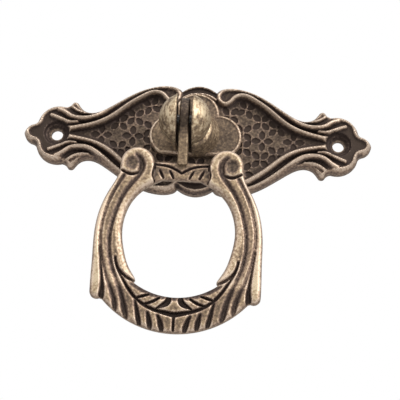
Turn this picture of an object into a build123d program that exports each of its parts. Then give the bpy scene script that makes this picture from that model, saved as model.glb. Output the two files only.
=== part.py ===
"""Cast brass drop handle for a cabinet or drawer, in millimetres.

The back plate lies against the drawer front on the plane y = 0 and its relief faces -Y.
+X is to the right, +Z is up, and the origin is the middle of the back plate's back face.
"""

import os
from math import cos, radians, sin

from build123d import *

# Back plate.
SCREW_SPACING = 80.0
SCREW_HOLE_RADIUS = 1.65
SCREW_CUP_RADIUS = 3.4
SCREW_CUP_FLOOR = 1.5
TIP_REACH = 9.3
END_LOBE_HEIGHT = 8.5
CREST_X = 10.0
CREST_HEIGHT = 16.3
MIDDLE_LOBE_HEIGHT = 16.6
NOTCH_X = 5.0
NOTCH_HEIGHT = 14.7
WAIST_BEFORE_SCREW = 9.4
WAIST_HEIGHT = 7.0
FIELD_DEPTH = 3.2
HOLLOW_DEPTH = 1.5
RIM_WALL = 2.2
BOSS_WALL = 2.0
RIDGE_FOOT = 2.2
BEAD_CREST = 5.0
BEAD_WIDTH = 1.7
FAN_CREST = 4.6
FAN_WIDTH = 1.4
CREST_WIDTH = 0.6
PETAL_LENGTH = 2.3
PETAL_WIDTH = 1.3
PETAL_DEPTH = 0.7
PETAL_OVERCUT = 0.2
PETAL_OFFSET = 1.75
PETAL_GAP = 0.25
LOBE_GROOVE_DEPTH = 1.2

# Post: three-lobed foot, neck and slotted head, in one casting with a rivet tenon behind.
POST_X = -0.5
FOOT_LOBE_RADIUS = 6.5
FOOT_LOBE_OFFSET = 6.5
FOOT_BOTTOM = -5.6
FOOT_THICKNESS = 2.2
FOOT_RIM = 1.0
FOOT_DISH = 0.35
TENON_RADIUS = 3.0
RIVET_RADIUS = 3.9
RIVET_HEIGHT = 1.2
NECK_FOOT_RADIUS = 6.9
NECK_TOP_RADIUS = 6.0
NECK_RISE = 0.7
NECK_TOP_DEPTH = 9.2
NECK_TOP_LEAN = -1.3
HEAD_X = -3.4
HEAD_DEPTH = 14.0
HEAD_RISE = 1.2
HEAD_RADIUS = 7.2
SLOT_WIDTH = 4.2
EYE_SLOT_GAP = 0.5

# Pivot pin.
PIN_RADIUS = 1.2
PIN_SEAT = 3.3
PIN_RUNNING_GAP = 0.05

# Ring pull.
EYE_RADIUS = 5.8
EYE_SHOULDER = 1.2
TONGUE_THICKNESS = 2.6
PULL_BACK_DEPTH = 12.4
PULL_THICKNESS = 3.2
PULL_HALF_WIDTH = 22.5
OPENING_HALF_WIDTH = 15.05
BAR_TOP = -11.7
BAR_BOTTOM = -16.8
BAR_STEP = 0.8
BAR_STEP_HALF_WIDTH = 7.3
SCROLL_X = 12.1
SCROLL_Z = -12.4
SCROLL_RADIUS = 4.65
SCROLL_EYE_X = 13.45
SCROLL_EYE_Z = -12.65
SCROLL_EYE_RADIUS = 2.0
SCROLL_EYE_DEPTH = 0.4
BAND_BOTTOM = -59.05
BAND_RADIUS = 25.9
OPENING_BOTTOM = -49.5
OPENING_RADIUS = 18.8
GROOVE_WIDTH = 1.1
GROOVE_DEPTH = 1.1
GROOVE_FLOOR_WIDTH = 0.2
GROOVE_OVERCUT = 0.2

# Length of the spans along a ridge or a groove.
STRIP_STEP = 1.4

SCREW_X = SCREW_SPACING / 2
WAIST_X = SCREW_X - WAIST_BEFORE_SCREW


def front_plane(depth):
    """Drawing plane at a depth in front of the drawer: its x is +X and its y is +Z."""
    return Plane((0, -depth, 0), x_dir=(1, 0, 0), z_dir=(0, -1, 0))


def prism(face, start, end):
    """Solid of a flat outline from one depth to another."""
    return extrude(front_plane(start) * face, amount=end - start)


def strip(line, width, depth):
    """Flat ribbon of a width along a line, at a depth in front of the drawer."""
    steps = max(2, round(line.length / STRIP_STEP))
    sides = []
    for side in (1, -1):
        shift = side * width / 2
        along = [(line @ (i / steps), line % (i / steps)) for i in range(steps + 1)]
        sides.append(Spline(*[(spot.X - shift * way.Y, spot.Y + shift * way.X) for spot, way in along]))
    left, right = sides
    ends = [Line(left @ 1, right @ 1), Line(right @ 0, left @ 0)]
    return front_plane(depth) * make_face(left.edges() + ends[0].edges() + right.edges() + ends[1].edges())


def ridge(line, width, crest):
    """Raised strand along a line, with sloping sides and a narrow flat crest."""
    return loft([strip(line, width, RIDGE_FOOT), strip(line, CREST_WIDTH, crest)], ruled=True)


def groove(line, step=0):
    """Cutter for a V-shaped groove along a line, sunk from the pull's front face or from a step below it."""
    front = PULL_BACK_DEPTH + PULL_THICKNESS - step
    above = strip(line, GROOVE_WIDTH * (1 + GROOVE_OVERCUT / GROOVE_DEPTH), front + GROOVE_OVERCUT)
    return loft([strip(line, GROOVE_FLOOR_WIDTH, front - GROOVE_DEPTH), above], ruled=True)


def mirrored(solid):
    """The solid and its image across the middle of the plate, left to right."""
    return [solid, mirror(solid, Plane.YZ)]


def quartered(solid):
    """The solid and its images in all four quarters of the plate."""
    return mirrored(solid) + mirrored(mirror(solid, Plane.XY))


def sweep_x(share):
    """X at a share of the way from the scroll crest to the waist of the plate."""
    return CREST_X + (WAIST_X - CREST_X) * share


def plate_outline():
    """Outline of the plate: two middle lobes, four long scrolls, and an end piece round each screw."""
    end = SCREW_X
    notch = (NOTCH_X, NOTCH_HEIGHT)
    thorn = END_LOBE_HEIGHT + 1.55
    tip = end + TIP_REACH
    scroll = Spline(
        notch,
        (NOTCH_X + 0.5, NOTCH_HEIGHT + 0.65),
        (NOTCH_X + 1.5, CREST_HEIGHT - 0.4),
        (CREST_X - 2.0, CREST_HEIGHT - 0.05),
        (CREST_X, CREST_HEIGHT),
        (sweep_x(0.39), CREST_HEIGHT - 2.4),
        (sweep_x(0.78), WAIST_HEIGHT + 1.7),
        (sweep_x(0.89), WAIST_HEIGHT + 0.45),
        (WAIST_X, WAIST_HEIGHT),
        (WAIST_X + 2.3, WAIST_HEIGHT + 0.7),
        (end - 5.6, thorn - 0.6),
    )
    thorn_tip = ThreePointArc((end - 5.6, thorn - 0.6), (end - 4.7, thorn), (end - 3.7, thorn - 0.5))
    lobe_start = (end - 2.0, END_LOBE_HEIGHT - 0.1)
    fall = ThreePointArc((end - 3.7, thorn - 0.5), (end - 3.0, thorn - 1.3), lobe_start)
    lobe = ThreePointArc(lobe_start, (end + 3.4, 7.3), (end + 5.5, 4.1))
    corner = ThreePointArc((end + 5.5, 4.1), (end + 5.9, 3.3), (tip - 2.6, 2.8))
    quarter = Curve() + [scroll, thorn_tip, fall, lobe, corner]
    tip_arc = ThreePointArc((tip - 2.6, 2.8), (tip, 0), (tip - 2.6, -2.8))
    middle = ThreePointArc((-NOTCH_X, NOTCH_HEIGHT), (0, MIDDLE_LOBE_HEIGHT), notch)
    half = Curve() + [quarter, mirror(quarter, Plane.XZ), tip_arc]
    edges = half.edges() + mirror(half, Plane.YZ).edges() + middle.edges() + mirror(middle, Plane.XZ).edges()
    return make_face(edges)


def hollow_outline():
    """Outline of the hollow behind the plate, a wall's width inside the rim."""
    end = SCREW_X
    upper = Spline(
        (0, NOTCH_HEIGHT - RIM_WALL),
        (NOTCH_X, NOTCH_HEIGHT - RIM_WALL),
        (CREST_X, CREST_HEIGHT - RIM_WALL - 0.5),
        (sweep_x(0.39), CREST_HEIGHT - 2.9 - RIM_WALL),
        (sweep_x(0.78), WAIST_HEIGHT + 1.2 - RIM_WALL),
        (WAIST_X, WAIST_HEIGHT - RIM_WALL),
        (end, WAIST_HEIGHT - RIM_WALL),
    )
    side = Line(upper @ 1, (end, 0))
    half = Curve() + [upper, side, mirror(upper, Plane.XZ), mirror(side, Plane.XZ)]
    return make_face(half.edges() + mirror(half, Plane.YZ).edges())


def bead_line():
    """Crest of one quarter's bead: outer strand, turn of the scroll, and the inner strand that comes back."""
    end = SCREW_X
    outer = [
        (end - 1.2, 6.6),
        (end - 4.0, 4.9),
        (end - 6.5, 4.3),
        (WAIST_X - 0.6, 4.75),
        (sweep_x(0.68), 8.8),
        (sweep_x(0.3), 13.95),
        (CREST_X + 2.0, 15.15),
        (CREST_X - 1.0, 15.25),
    ]
    scroll = [(7.2, 14.75), (6.2, 13.2), (6.4, 11.6), (7.6, 10.7), (8.9, 11.4)]
    inner = [
        (CREST_X + 0.2, 12.6),
        (CREST_X + 2.4, 13.1),
        (sweep_x(0.3), 11.6),
        (sweep_x(0.5), 8.7),
        (sweep_x(0.68), 5.6),
        (WAIST_X - 2.4, 3.3),
        (WAIST_X + 1.4, 2.0),
        (end - SCREW_CUP_RADIUS - 0.2, 1.25),
    ]
    return Spline(*outer, *scroll, *inner)


def fan_lines():
    """Crests of the two short ridges that fan out over each screw, in one quarter."""
    end = SCREW_X
    over_screw = Spline((end - 5.0, 3.1), (end - 3.3, 3.25), (end - 1.0, 4.1), (end + 1.6, 5.1))
    in_thorn = Spline((end - 8.6, 6.2), (end - 7.0, 6.25), (end - 5.3, 6.9), (end - 4.0, 8.1))
    return [over_screw, in_thorn]


def end_rim_line():
    """Crest of the raised rim round one end of the plate."""
    end = SCREW_X
    tip = end + TIP_REACH
    side = [(end + 1.0, 7.45), (end + 3.1, 6.1), (end + 4.4, 4.0), (end + 5.4, 2.6), (tip - 2.1, 1.7)]
    return Spline(*side, (tip - 1.0, 0), *[(x, -z) for x, z in reversed(side)])


def petal():
    """Cutter for a leaf-shaped dimple that lies along x: six sloping sides that meet at its deepest point."""
    size = 1 + PETAL_OVERCUT / PETAL_DEPTH
    half = PETAL_LENGTH / 2 * size
    side = PETAL_WIDTH / 2 * size
    upper = [(-half, 0), (-half / 3, side), (half / 3, side), (half, 0)]
    outline = Polyline(*upper, (half / 3, -side), (-half / 3, -side), close=True)
    mouth = front_plane(FIELD_DEPTH + PETAL_OVERCUT) * make_face(outline.edges())
    return loft([Vertex(0, PETAL_DEPTH - FIELD_DEPTH, 0), mouth], ruled=True)


def petal_places(bead, foot):
    """Places and turns of the dimples, in flowers of four, clear of the beads and the post's foot."""
    flowers = [
        (0.0, 8.2, 45),
        (9.0, 7.6, 45),
        (13.5, 9.4, 30),
        (12.9, 2.4, 45),
        (sweep_x(0.385), 5.7, 45),
        (sweep_x(0.6), 4.0, 45),
        (sweep_x(0.4), 0.0, 0),
        (sweep_x(0.83), 0.0, 0),
    ]
    places = set()
    for x, z, turn in flowers:
        for angle in range(turn, turn + 360, 90):
            spot = (x + PETAL_OFFSET * cos(radians(angle)), z + PETAL_OFFSET * sin(radians(angle)))
            for side in (1, -1):
                for up in (1, -1):
                    middle = Vector(side * spot[0], up * spot[1])
                    tip = Vector(cos(radians(angle)) * side, sin(radians(angle)) * up) * (PETAL_LENGTH / 2)
                    ends = [middle - tip, middle, middle + tip]
                    off_bead = min(bead.distance_to(Vector(abs(p.X), abs(p.Y))) for p in ends)
                    off_foot = min(foot.distance_to(p) for p in ends)
                    if off_bead > BEAD_WIDTH / 2 + PETAL_GAP and off_foot > PETAL_GAP:
                        places.add((round(middle.X, 3), round(middle.Y, 3), side * up * angle % 180))
    return sorted(places)


def petals(bead, foot):
    """Cutters for all the dimples of the field."""
    dimple = petal()
    return [Location((x, 0, z), (0, -turn, 0)) * dimple for x, z, turn in petal_places(bead, foot)]


def middle_lobe_groove():
    """Crescent sunk in a middle lobe, between its rim and the arc inside it."""
    outer = ThreePointArc((-4.1, 13.5), (0, MIDDLE_LOBE_HEIGHT - 1.3), (4.1, 13.5))
    inner = ThreePointArc((-4.1, 13.5), (0, MIDDLE_LOBE_HEIGHT - 2.5), (4.1, 13.5))
    return prism(make_face(outer.edges() + inner.edges()), FIELD_DEPTH - LOBE_GROOVE_DEPTH, FIELD_DEPTH + 1)


def foot_outline(inset=0):
    """Three round lobes, left, right and up, cut off flat along the bottom, or a line inset from them."""
    lobe = Circle(FOOT_LOBE_RADIUS - inset)
    reach = 4 * FOOT_LOBE_RADIUS
    lobes = Sketch() + [Pos(POST_X + side * FOOT_LOBE_OFFSET, 0) * lobe for side in (-1, 1)]
    lobes += Pos(POST_X, FOOT_LOBE_OFFSET) * lobe
    lobes += Pos(POST_X, NECK_RISE) * Circle(NECK_FOOT_RADIUS - inset)
    return lobes - Pos(POST_X, FOOT_BOTTOM + inset - reach / 2) * Rectangle(reach * 2, reach)


def plate_ridges(bead):
    """Every raised strand of the plate: four beads, the fans over the screws, and the two end rims."""
    quarter = [ridge(bead, BEAD_WIDTH, BEAD_CREST)]
    quarter += [ridge(line, FAN_WIDTH, FAN_CREST) for line in fan_lines()]
    ridges = [piece for strand in quarter for piece in quartered(strand)]
    return ridges + mirrored(ridge(end_rim_line(), FAN_WIDTH, FAN_CREST))


def back_plate():
    """Hollow-backed casting with raised beads, a dimpled field and a cup for each screw."""
    bead = bead_line()
    post_spot = Pos(POST_X, 0)
    screws = [Pos(side * SCREW_X, 0) for side in (-1, 1)]
    plate = prism(plate_outline(), 0, FIELD_DEPTH)
    plate -= petals(bead, foot_outline())
    plate -= [middle_lobe_groove(), mirror(middle_lobe_groove(), Plane.XY)]
    plate += plate_ridges(bead)
    hollow = prism(hollow_outline(), 0, HOLLOW_DEPTH)
    bosses = [prism(post_spot * Circle(RIVET_RADIUS + BOSS_WALL), 0, HOLLOW_DEPTH)]
    bosses += [prism(spot * Circle(SCREW_CUP_RADIUS + BOSS_WALL), 0, HOLLOW_DEPTH) for spot in screws]
    plate -= hollow - bosses
    cups = [prism(spot * Circle(SCREW_CUP_RADIUS), SCREW_CUP_FLOOR, BEAD_CREST + 1) for spot in screws]
    holes = [prism(spot * Circle(SCREW_HOLE_RADIUS), 0, SCREW_CUP_FLOOR) for spot in screws]
    rivet = prism(post_spot * Circle(RIVET_RADIUS), 0, RIVET_HEIGHT)
    tenon = prism(post_spot * Circle(TENON_RADIUS), 0, FIELD_DEPTH)
    return plate - cups - holes - rivet - tenon


def post():
    """Foot, neck and slotted ball head in one casting, riveted through the plate."""
    foot_top = FIELD_DEPTH + FOOT_THICKNESS
    dish = prism(foot_outline(FOOT_RIM), foot_top - FOOT_DISH, foot_top)
    foot = prism(foot_outline(), FIELD_DEPTH, foot_top) - dish
    neck_foot = front_plane(foot_top - FOOT_DISH) * Pos(POST_X, NECK_RISE) * Circle(NECK_FOOT_RADIUS)
    neck_spot = Pos(POST_X + NECK_TOP_LEAN, NECK_RISE)
    neck_top = front_plane(NECK_TOP_DEPTH) * neck_spot * Circle(NECK_TOP_RADIUS)
    neck = loft([neck_foot, neck_top])
    head = Pos(HEAD_X, -HEAD_DEPTH, HEAD_RISE) * Sphere(HEAD_RADIUS)
    tenon = prism(Pos(POST_X, 0) * Circle(TENON_RADIUS), 0, FIELD_DEPTH)
    rivet = prism(Pos(POST_X, 0) * Circle(RIVET_RADIUS), 0, RIVET_HEIGHT)
    slot_floor = HEAD_DEPTH - EYE_RADIUS - EYE_SLOT_GAP
    slot_front = HEAD_DEPTH + HEAD_RADIUS + 1
    slot = prism(Pos(HEAD_X, 0) * Rectangle(SLOT_WIDTH, 4 * HEAD_RADIUS), slot_floor, slot_front)
    return foot + neck + head + tenon + rivet - slot - pin_solid()


def pin_solid():
    """Round pin across the slot, seated in both halves of the head."""
    length = SLOT_WIDTH + 2 * PIN_SEAT
    return Pos(HEAD_X, -HEAD_DEPTH, HEAD_RISE) * Rot(0, 90, 0) * Cylinder(PIN_RADIUS, length)


def pull_half_outline():
    """Right half of the ring's flat outline: half crossbar, leg, tip, half band and hooked inner edge."""
    band_centre = BAND_BOTTOM + BAND_RADIUS
    opening_centre = OPENING_BOTTOM + OPENING_RADIUS
    shoulder = (SCROLL_X + SCROLL_RADIUS, SCROLL_Z)
    bar_end = (SCROLL_X - SCROLL_RADIUS + 1.5, BAR_TOP - 0.2)
    underside_end = (5.2, BAR_BOTTOM - 0.1)
    tip_start = (PULL_HALF_WIDTH, BAND_BOTTOM + 10.3)
    tip_end = (PULL_HALF_WIDTH - 2.6, BAND_BOTTOM + 8.7)
    band_start = (19.2, band_centre - (BAND_RADIUS**2 - 19.2**2) ** 0.5)
    band_middle = (11.0, band_centre - (BAND_RADIUS**2 - 11.0**2) ** 0.5)
    hook_foot = (10.8, opening_centre - (OPENING_RADIUS**2 - 10.8**2) ** 0.5)
    opening_middle = (6.0, opening_centre - (OPENING_RADIUS**2 - 6.0**2) ** 0.5)
    hook_start = (hook_foot[0], hook_foot[1] + 1.0)
    outer = Spline(
        shoulder,
        (17.3, -16.3),
        (19.1, -20.0),
        (21.5, -26.0),
        (PULL_HALF_WIDTH, -33.0),
        (PULL_HALF_WIDTH, -40.0),
        tip_start,
        tangents=((0, -1), (0.1, -1)),
    )
    tip = ThreePointArc(tip_start, (PULL_HALF_WIDTH - 0.9, tip_end[1] + 0.1), tip_end)
    notch = Line(tip_end, band_start)
    band = ThreePointArc(band_start, band_middle, (0, BAND_BOTTOM))
    opening = ThreePointArc((0, OPENING_BOTTOM), opening_middle, hook_foot)
    hook = ThreePointArc(hook_foot, (hook_foot[0] - 0.4, hook_foot[1] + 0.5), hook_start)
    inner = Spline(
        hook_start,
        (12.3, -42.0),
        (14.0, -38.0),
        (OPENING_HALF_WIDTH, -32.0),
        (14.2, -26.0),
        (12.3, -22.2),
        (9.0, -19.0),
        underside_end,
        tangents=((0.3, 1), (-1, 0.05)),
    )
    underside = Line(underside_end, (0, BAR_BOTTOM))
    bar_side = Line((0, BAR_BOTTOM), (0, BAR_TOP))
    bar_top = Polyline((0, BAR_TOP), bar_end, shoulder)
    band_side = Line((0, BAND_BOTTOM), (0, OPENING_BOTTOM))
    edges = [outer, tip, notch, band, band_side, opening, hook, inner, underside, bar_side, bar_top]
    leg = make_face([edge for line in edges for edge in line.edges()])
    return leg + Pos(SCROLL_X, SCROLL_Z) * Circle(SCROLL_RADIUS)


def leg_grooves():
    """Grooves of the right half: between the strands of the leg, round the scroll, and between the leaves."""
    low = BAND_BOTTOM
    outer_strand = Spline(
        (15.5, -16.2),
        (17.5, -20.0),
        (19.7, -26.0),
        (20.7, -33.0),
        (19.8, -40.0),
        (18.2, low + 13.85),
        (16.4, low + 9.75),
        (15.6, low + 4.65),
    )
    inner_strand = Spline(
        (12.0, -10.5),
        (10.8, -12.8),
        (11.5, -15.8),
        (14.2, -20.0),
        (17.1, -27.0),
        (18.2, -34.0),
        (17.0, -42.0),
        (14.6, low + 11.05),
        (12.5, low + 2.55),
    )
    under_eye = Spline((11.3, -15.2), (13.4, -15.9), (16.3, -14.8))
    hook = Spline((16.3, -40.0), (15.5, -42.2), (13.1, -44.2), (10.2, -45.0))
    leaf = Spline((15.5, -42.6), (13.3, low + 12.75), (10.9, low + 9.45), (6.1, low + 6.15), (0, low + 4.05))
    tip = Spline((19.0, low + 13.25), (19.3, low + 11.05), (19.8, low + 8.05))
    fan = [
        Spline((10.3, low + 8.25), (9.4, low + 4.05), (8.9, low + 1.05)),
        Spline((6.9, low + 5.05), (6.4, low + 3.05), (6.1, low + 0.15)),
        Spline((4.2, low + 4.35), (3.6, low + 2.55), (3.0, low - 0.25)),
    ]
    bars = [
        Spline((10.1, low + 8.85), (8.4, low + 9.35), (6.9, low + 9.85)),
        Spline((8.0, low + 7.25), (6.0, low + 7.85), (4.1, low + 9.05)),
        Spline((5.0, low + 6.05), (2.6, low + 6.75), (1.2, low + 8.65)),
    ]
    return [outer_strand, inner_strand, under_eye, hook, leaf, tip] + fan + bars


def bar_grooves():
    """Grooves of the right half of the crossbar: two gadroons and the brow over them."""
    gadroons = [Line((3.0, -14.7), (2.2, -16.2)), Line((5.8, -14.4), (4.9, -16.2))]
    return [*gadroons, Spline((0, -14.9), (3.2, -13.2), (7.0, -12.6))]


def tongue():
    """Tongue that hangs in the slot: a round eye on the pin, tapering down to the crossbar."""
    back = PULL_BACK_DEPTH
    front = PULL_BACK_DEPTH + PULL_THICKNESS
    shoulder = EYE_RADIUS - EYE_SHOULDER
    stem = Polyline(
        (HEAD_DEPTH - shoulder, HEAD_RISE - 3.4),
        (HEAD_DEPTH + shoulder, HEAD_RISE - 3.4),
        (front, BAR_TOP - 1.0),
        (back, BAR_TOP - 1.0),
        close=True,
    )
    eye = Pos(HEAD_DEPTH, HEAD_RISE) * Circle(EYE_RADIUS)
    bore = Pos(HEAD_DEPTH, HEAD_RISE) * Circle(PIN_RADIUS + PIN_RUNNING_GAP)
    side_view = Plane((TONGUE_THICKNESS / 2, 0, 0), x_dir=(0, -1, 0), z_dir=(-1, 0, 0))
    return extrude(side_view * (eye + make_face(stem.edges()) - bore), amount=TONGUE_THICKNESS)


def ring_pull():
    """Ring pull with its tongue, in one casting."""
    half = pull_half_outline()
    front = PULL_BACK_DEPTH + PULL_THICKNESS
    body = prism(half + mirror(half, Plane.YZ), PULL_BACK_DEPTH, front)
    bar_height = BAR_TOP - BAR_BOTTOM
    bar_spot = Pos(0, BAR_BOTTOM + bar_height / 2)
    bar_face = bar_spot * Rectangle(2 * BAR_STEP_HALF_WIDTH, 2 * bar_height)
    body -= prism(bar_face, front - BAR_STEP, front + 1)
    cutters = [groove(line) for line in leg_grooves()]
    cutters += [groove(line, BAR_STEP) for line in bar_grooves()]
    scroll_eye = Pos(SCROLL_EYE_X, SCROLL_EYE_Z) * Circle(SCROLL_EYE_RADIUS)
    cutters.append(prism(scroll_eye, front - SCROLL_EYE_DEPTH, front + 1))
    body -= [piece for cutter in cutters for piece in mirrored(cutter)]
    body -= groove(Line((0, BAND_BOTTOM + 3.85), (0, BAND_BOTTOM - 1)))
    return Pos(HEAD_X, 0, 0) * (body + tongue())


os.makedirs("parts", exist_ok=True)
parts = {
    "back_plate": back_plate(),
    "post": post(),
    "pivot_pin": pin_solid(),
    "ring_pull": ring_pull(),
}
for name, solid in parts.items():
    export_step(solid, f"parts/{name}.step")
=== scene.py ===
"""Looks of the cast brass drop handle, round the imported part. Lengths are in millimetres until a mesh is made.

Each casting is a relief: a grid of places on its flat outline, with a front and a back height at every place.
"""

import bpy
import numpy as np
from mathutils import Matrix


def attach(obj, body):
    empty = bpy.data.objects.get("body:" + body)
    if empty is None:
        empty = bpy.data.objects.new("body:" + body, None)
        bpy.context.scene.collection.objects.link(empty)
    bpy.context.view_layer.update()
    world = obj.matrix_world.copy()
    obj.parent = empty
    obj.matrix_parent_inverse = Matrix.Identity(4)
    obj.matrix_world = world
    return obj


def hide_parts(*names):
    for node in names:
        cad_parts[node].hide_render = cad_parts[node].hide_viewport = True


MM = 0.001

# Wear of a point: reaches of the near and the far mean height round it, what its rise is multiplied by and the power
# of its fall, the most steepness that counts, and the even near, far and steep values along a border.
NEAR_REACH = 0.35
FAR_REACH = 1.3
RISE_GAIN = 1.3
FALL_POWER = 1.4
STEEPEST = 3
BORDER_WEAR = (0.12, 0.3, 0.6)

# Reach of a search for the closest spot on a line, without an end or near the line only, and the distance that
# stands for a place far inside an edge.
FAR = 1e3
NEAR_LINE = 3
FAR_FROM_EDGE = 9

# Height that the wear takes for the ground outside each casting.
PLATE_GROUND = 1.0
RING_GROUND = 14.0
FOOT_GROUND = 4.5

# Grid steps of the castings.
PLATE_STEP = 0.23
RING_STEP = 0.165
TONGUE_STEP = 0.18
POST_STEP = 0.2
TUBE_SIDES = 64

# Back plate, as in the part.
SCREW_X = 40.0
SCREW_HOLE_RADIUS = 1.65
SCREW_CUP_RADIUS = 3.4
SCREW_CUP_FLOOR = 1.5
TIP_X = 49.3
FIELD_DEPTH = 3.2
HOLLOW_DEPTH = 1.5
RIM_WALL = 2.2
BOSS_WALL = 2.0
RIVET_RADIUS = 3.9
RIVET_HEIGHT = 1.2
TENON_RADIUS = 3.0

# Post.
POST_X = -0.5
FOOT_LOBE_RADIUS = 6.5
FOOT_LOBE_OFFSET = 6.5
FOOT_BOTTOM = -5.6
FOOT_FRONT = 5.4
FOOT_DISH = 0.35
FOOT_ROUND = 0.5
FOOT_RIM = 0.25
FOOT_RIM_PLACE = 0.5
FOOT_RIM_WIDTH = 0.4
FOOT_TONE = -0.3
LEFT_LOBE_TONE = 0.4
NECK_FOOT_RADIUS = 6.9
NECK_TOP_RADIUS = 6.0
NECK_RISE = 0.7
NECK_TOP_DEPTH = 9.2
NECK_TOP_LEAN = -1.3
HEAD_X = -3.4
HEAD_DEPTH = 14.0
HEAD_RISE = 1.2
HEAD_RADIUS = 7.2
SLOT_HALF = 2.1
SLOT_FLOOR = 7.7
SLOT_SKIN = 0.02
SLOT_ROUND = 0.5
PLUG_RADIUS = 5.6
# The plug on the slot's floor is painted near black: painted shade deep in the slot.
PLUG_PAINTED_SHADE = -1.0

# Wear and painted light of the head: wear on the neck, a lower level towards the bottom, and painted shade at the
# ball's top that dims the lamp's highlight; a painted highlight on the neck's lip and painted shade in the groove round
# the ball; and wear along the slot's edges.
NECK_WEAR = 0.45
BOTTOM_SHARE = 0.6
TOP_PAINTED_SHADE = 0.25
LIP_PAINTED_HIGHLIGHT = 0.35
LIP_OFFSET = 0.9
LIP_WIDTH = 0.5
GROOVE_PAINTED_SHADE = -1.1
SLOT_EDGE_WEAR = 0.2

# Ring pull.
EYE_RADIUS = 5.8
EYE_SHOULDER = 1.2
TONGUE_HALF = 1.3
TONGUE_ROUND = 0.35
BORE_RADIUS = 1.25
PULL_BACK = 12.4
PULL_FRONT = 15.6
BAR_TOP = -11.7
BAR_BOTTOM = -16.8
BAR_STEP = 0.8
BACK_ROUND = 0.6
SCROLL_SPOT = (12.1, -12.4)
SCROLL_RADIUS = 4.65
EYE_SPOT = (13.45, -12.65)
BAND_BOTTOM = -59.05
BAND_RADIUS = 25.9
OPENING_BOTTOM = -49.5
OPENING_RADIUS = 18.8
HOOK_X = 11.2


def curve(points, step=0.2):
    """Natural cubic curve through points by chord length. Columns after x and z, such as a height, follow along."""
    knots = np.asarray(points, float)
    gaps = np.hypot(*(knots[1:, :2] - knots[:-1, :2]).T)
    at = np.concatenate([[0], np.cumsum(gaps)])
    middle = np.arange(1, len(knots) - 1)
    system = np.eye(len(knots))
    system[middle, middle - 1] = gaps[:-1]
    system[middle, middle] = 2 * (gaps[:-1] + gaps[1:])
    system[middle, middle + 1] = gaps[1:]
    slopes = np.diff(knots, axis=0) / gaps[:, None]
    turn = np.zeros_like(knots)
    turn[1:-1] = 6 * np.diff(slopes, axis=0)
    bend = np.linalg.solve(system, turn)
    along = np.linspace(0, at[-1], max(3, int(at[-1] / step)))
    k = np.clip(np.searchsorted(at, along, side="right") - 1, 0, len(gaps) - 1)
    gap = gaps[k, None]
    a = (at[k + 1] - along)[:, None] / gap
    b = 1 - a
    smooth = ((a**3 - a) * bend[k] + (b**3 - b) * bend[k + 1]) * gap**2 / 6
    return a * knots[k] + b * knots[k + 1] + smooth


def arc(start, middle, end, step=0.2):
    """Points on the circle through three points, from the first to the last."""
    a, b, c = (complex(*p) for p in (start, middle, end))
    w = (c - a) / (b - a)
    centre = (b - a) * (w - abs(w) ** 2) / (2j * w.imag) + a
    first, turn = np.angle(a - centre), np.angle((c - centre) / (a - centre))
    if np.sign(np.angle((b - centre) / (a - centre))) != np.sign(turn):
        turn -= 2 * np.pi * np.sign(turn)
    steps = max(3, int(abs(turn) * abs(a - centre) / step))
    spots = centre + abs(a - centre) * np.exp(1j * (first + np.linspace(0, turn, steps)))
    return np.stack([spots.real, spots.imag], 1)


def nearest(line, x, z, reach=FAR):
    """Distance from each place to a line of straight runs, and the line's columns at the closest spot."""
    places = np.stack([x.ravel(), z.ravel()], 1)
    distance = np.full(len(places), float(reach))
    columns = np.zeros((len(places), line.shape[1]))
    low, high = line[:, :2].min(0) - reach, line[:, :2].max(0) + reach
    near = np.flatnonzero(((places > low) & (places < high)).all(1))
    run = np.diff(line, axis=0)
    square = (run[:, :2] ** 2).sum(1) + 1e-12
    for part in np.array_split(near, len(near) * len(run) // 3_000_000 + 1):
        off = places[part, None] - line[None, :-1, :2]
        share = np.clip((off * run[:, :2]).sum(2) / square, 0, 1)
        gap = ((off - share[..., None] * run[:, :2]) ** 2).sum(2)
        best = gap.argmin(1)
        rows = np.arange(len(part))
        distance[part] = np.sqrt(gap[rows, best])
        columns[part] = line[best] + share[rows, best, None] * run[best]
    return distance.reshape(x.shape), columns.reshape(x.shape + (-1,))


def encloses(loop, x, z):
    """True at the places from which a ray along +x crosses the closed loop an odd number of times."""
    start, end = loop, np.roll(loop, -1, 0)
    places = np.stack([x.ravel(), z.ravel()], 1)
    odd = np.zeros(len(places), bool)
    for part in np.array_split(np.arange(len(places)), len(places) * len(loop) // 4_000_000 + 1):
        px, pz = places[part, 0, None], places[part, 1, None]
        straddles = (start[:, 1] > pz) != (end[:, 1] > pz)
        rise = np.where(end[:, 1] == start[:, 1], 1, end[:, 1] - start[:, 1])
        crossing = start[:, 0] + (pz - start[:, 1]) * (end[:, 0] - start[:, 0]) / rise
        odd[part] = (straddles & (px < crossing)).sum(1) % 2 == 1
    return odd.reshape(x.shape)


def blurred(height, reach, step):
    """Gaussian mean of a grid over a reach, first along the rows and then along the columns."""
    count = int(3 * reach / step)
    offsets = np.arange(-count, count + 1)
    weights = np.exp(-((offsets * step / reach) ** 2) / 2)
    padded = np.pad(height, count, mode="edge")
    for axis in (0, 1):
        padded = sum(w * np.roll(padded, k, axis) for k, w in zip(offsets, weights)) / weights.sum()
    return padded[count:-count, count:-count]


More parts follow.
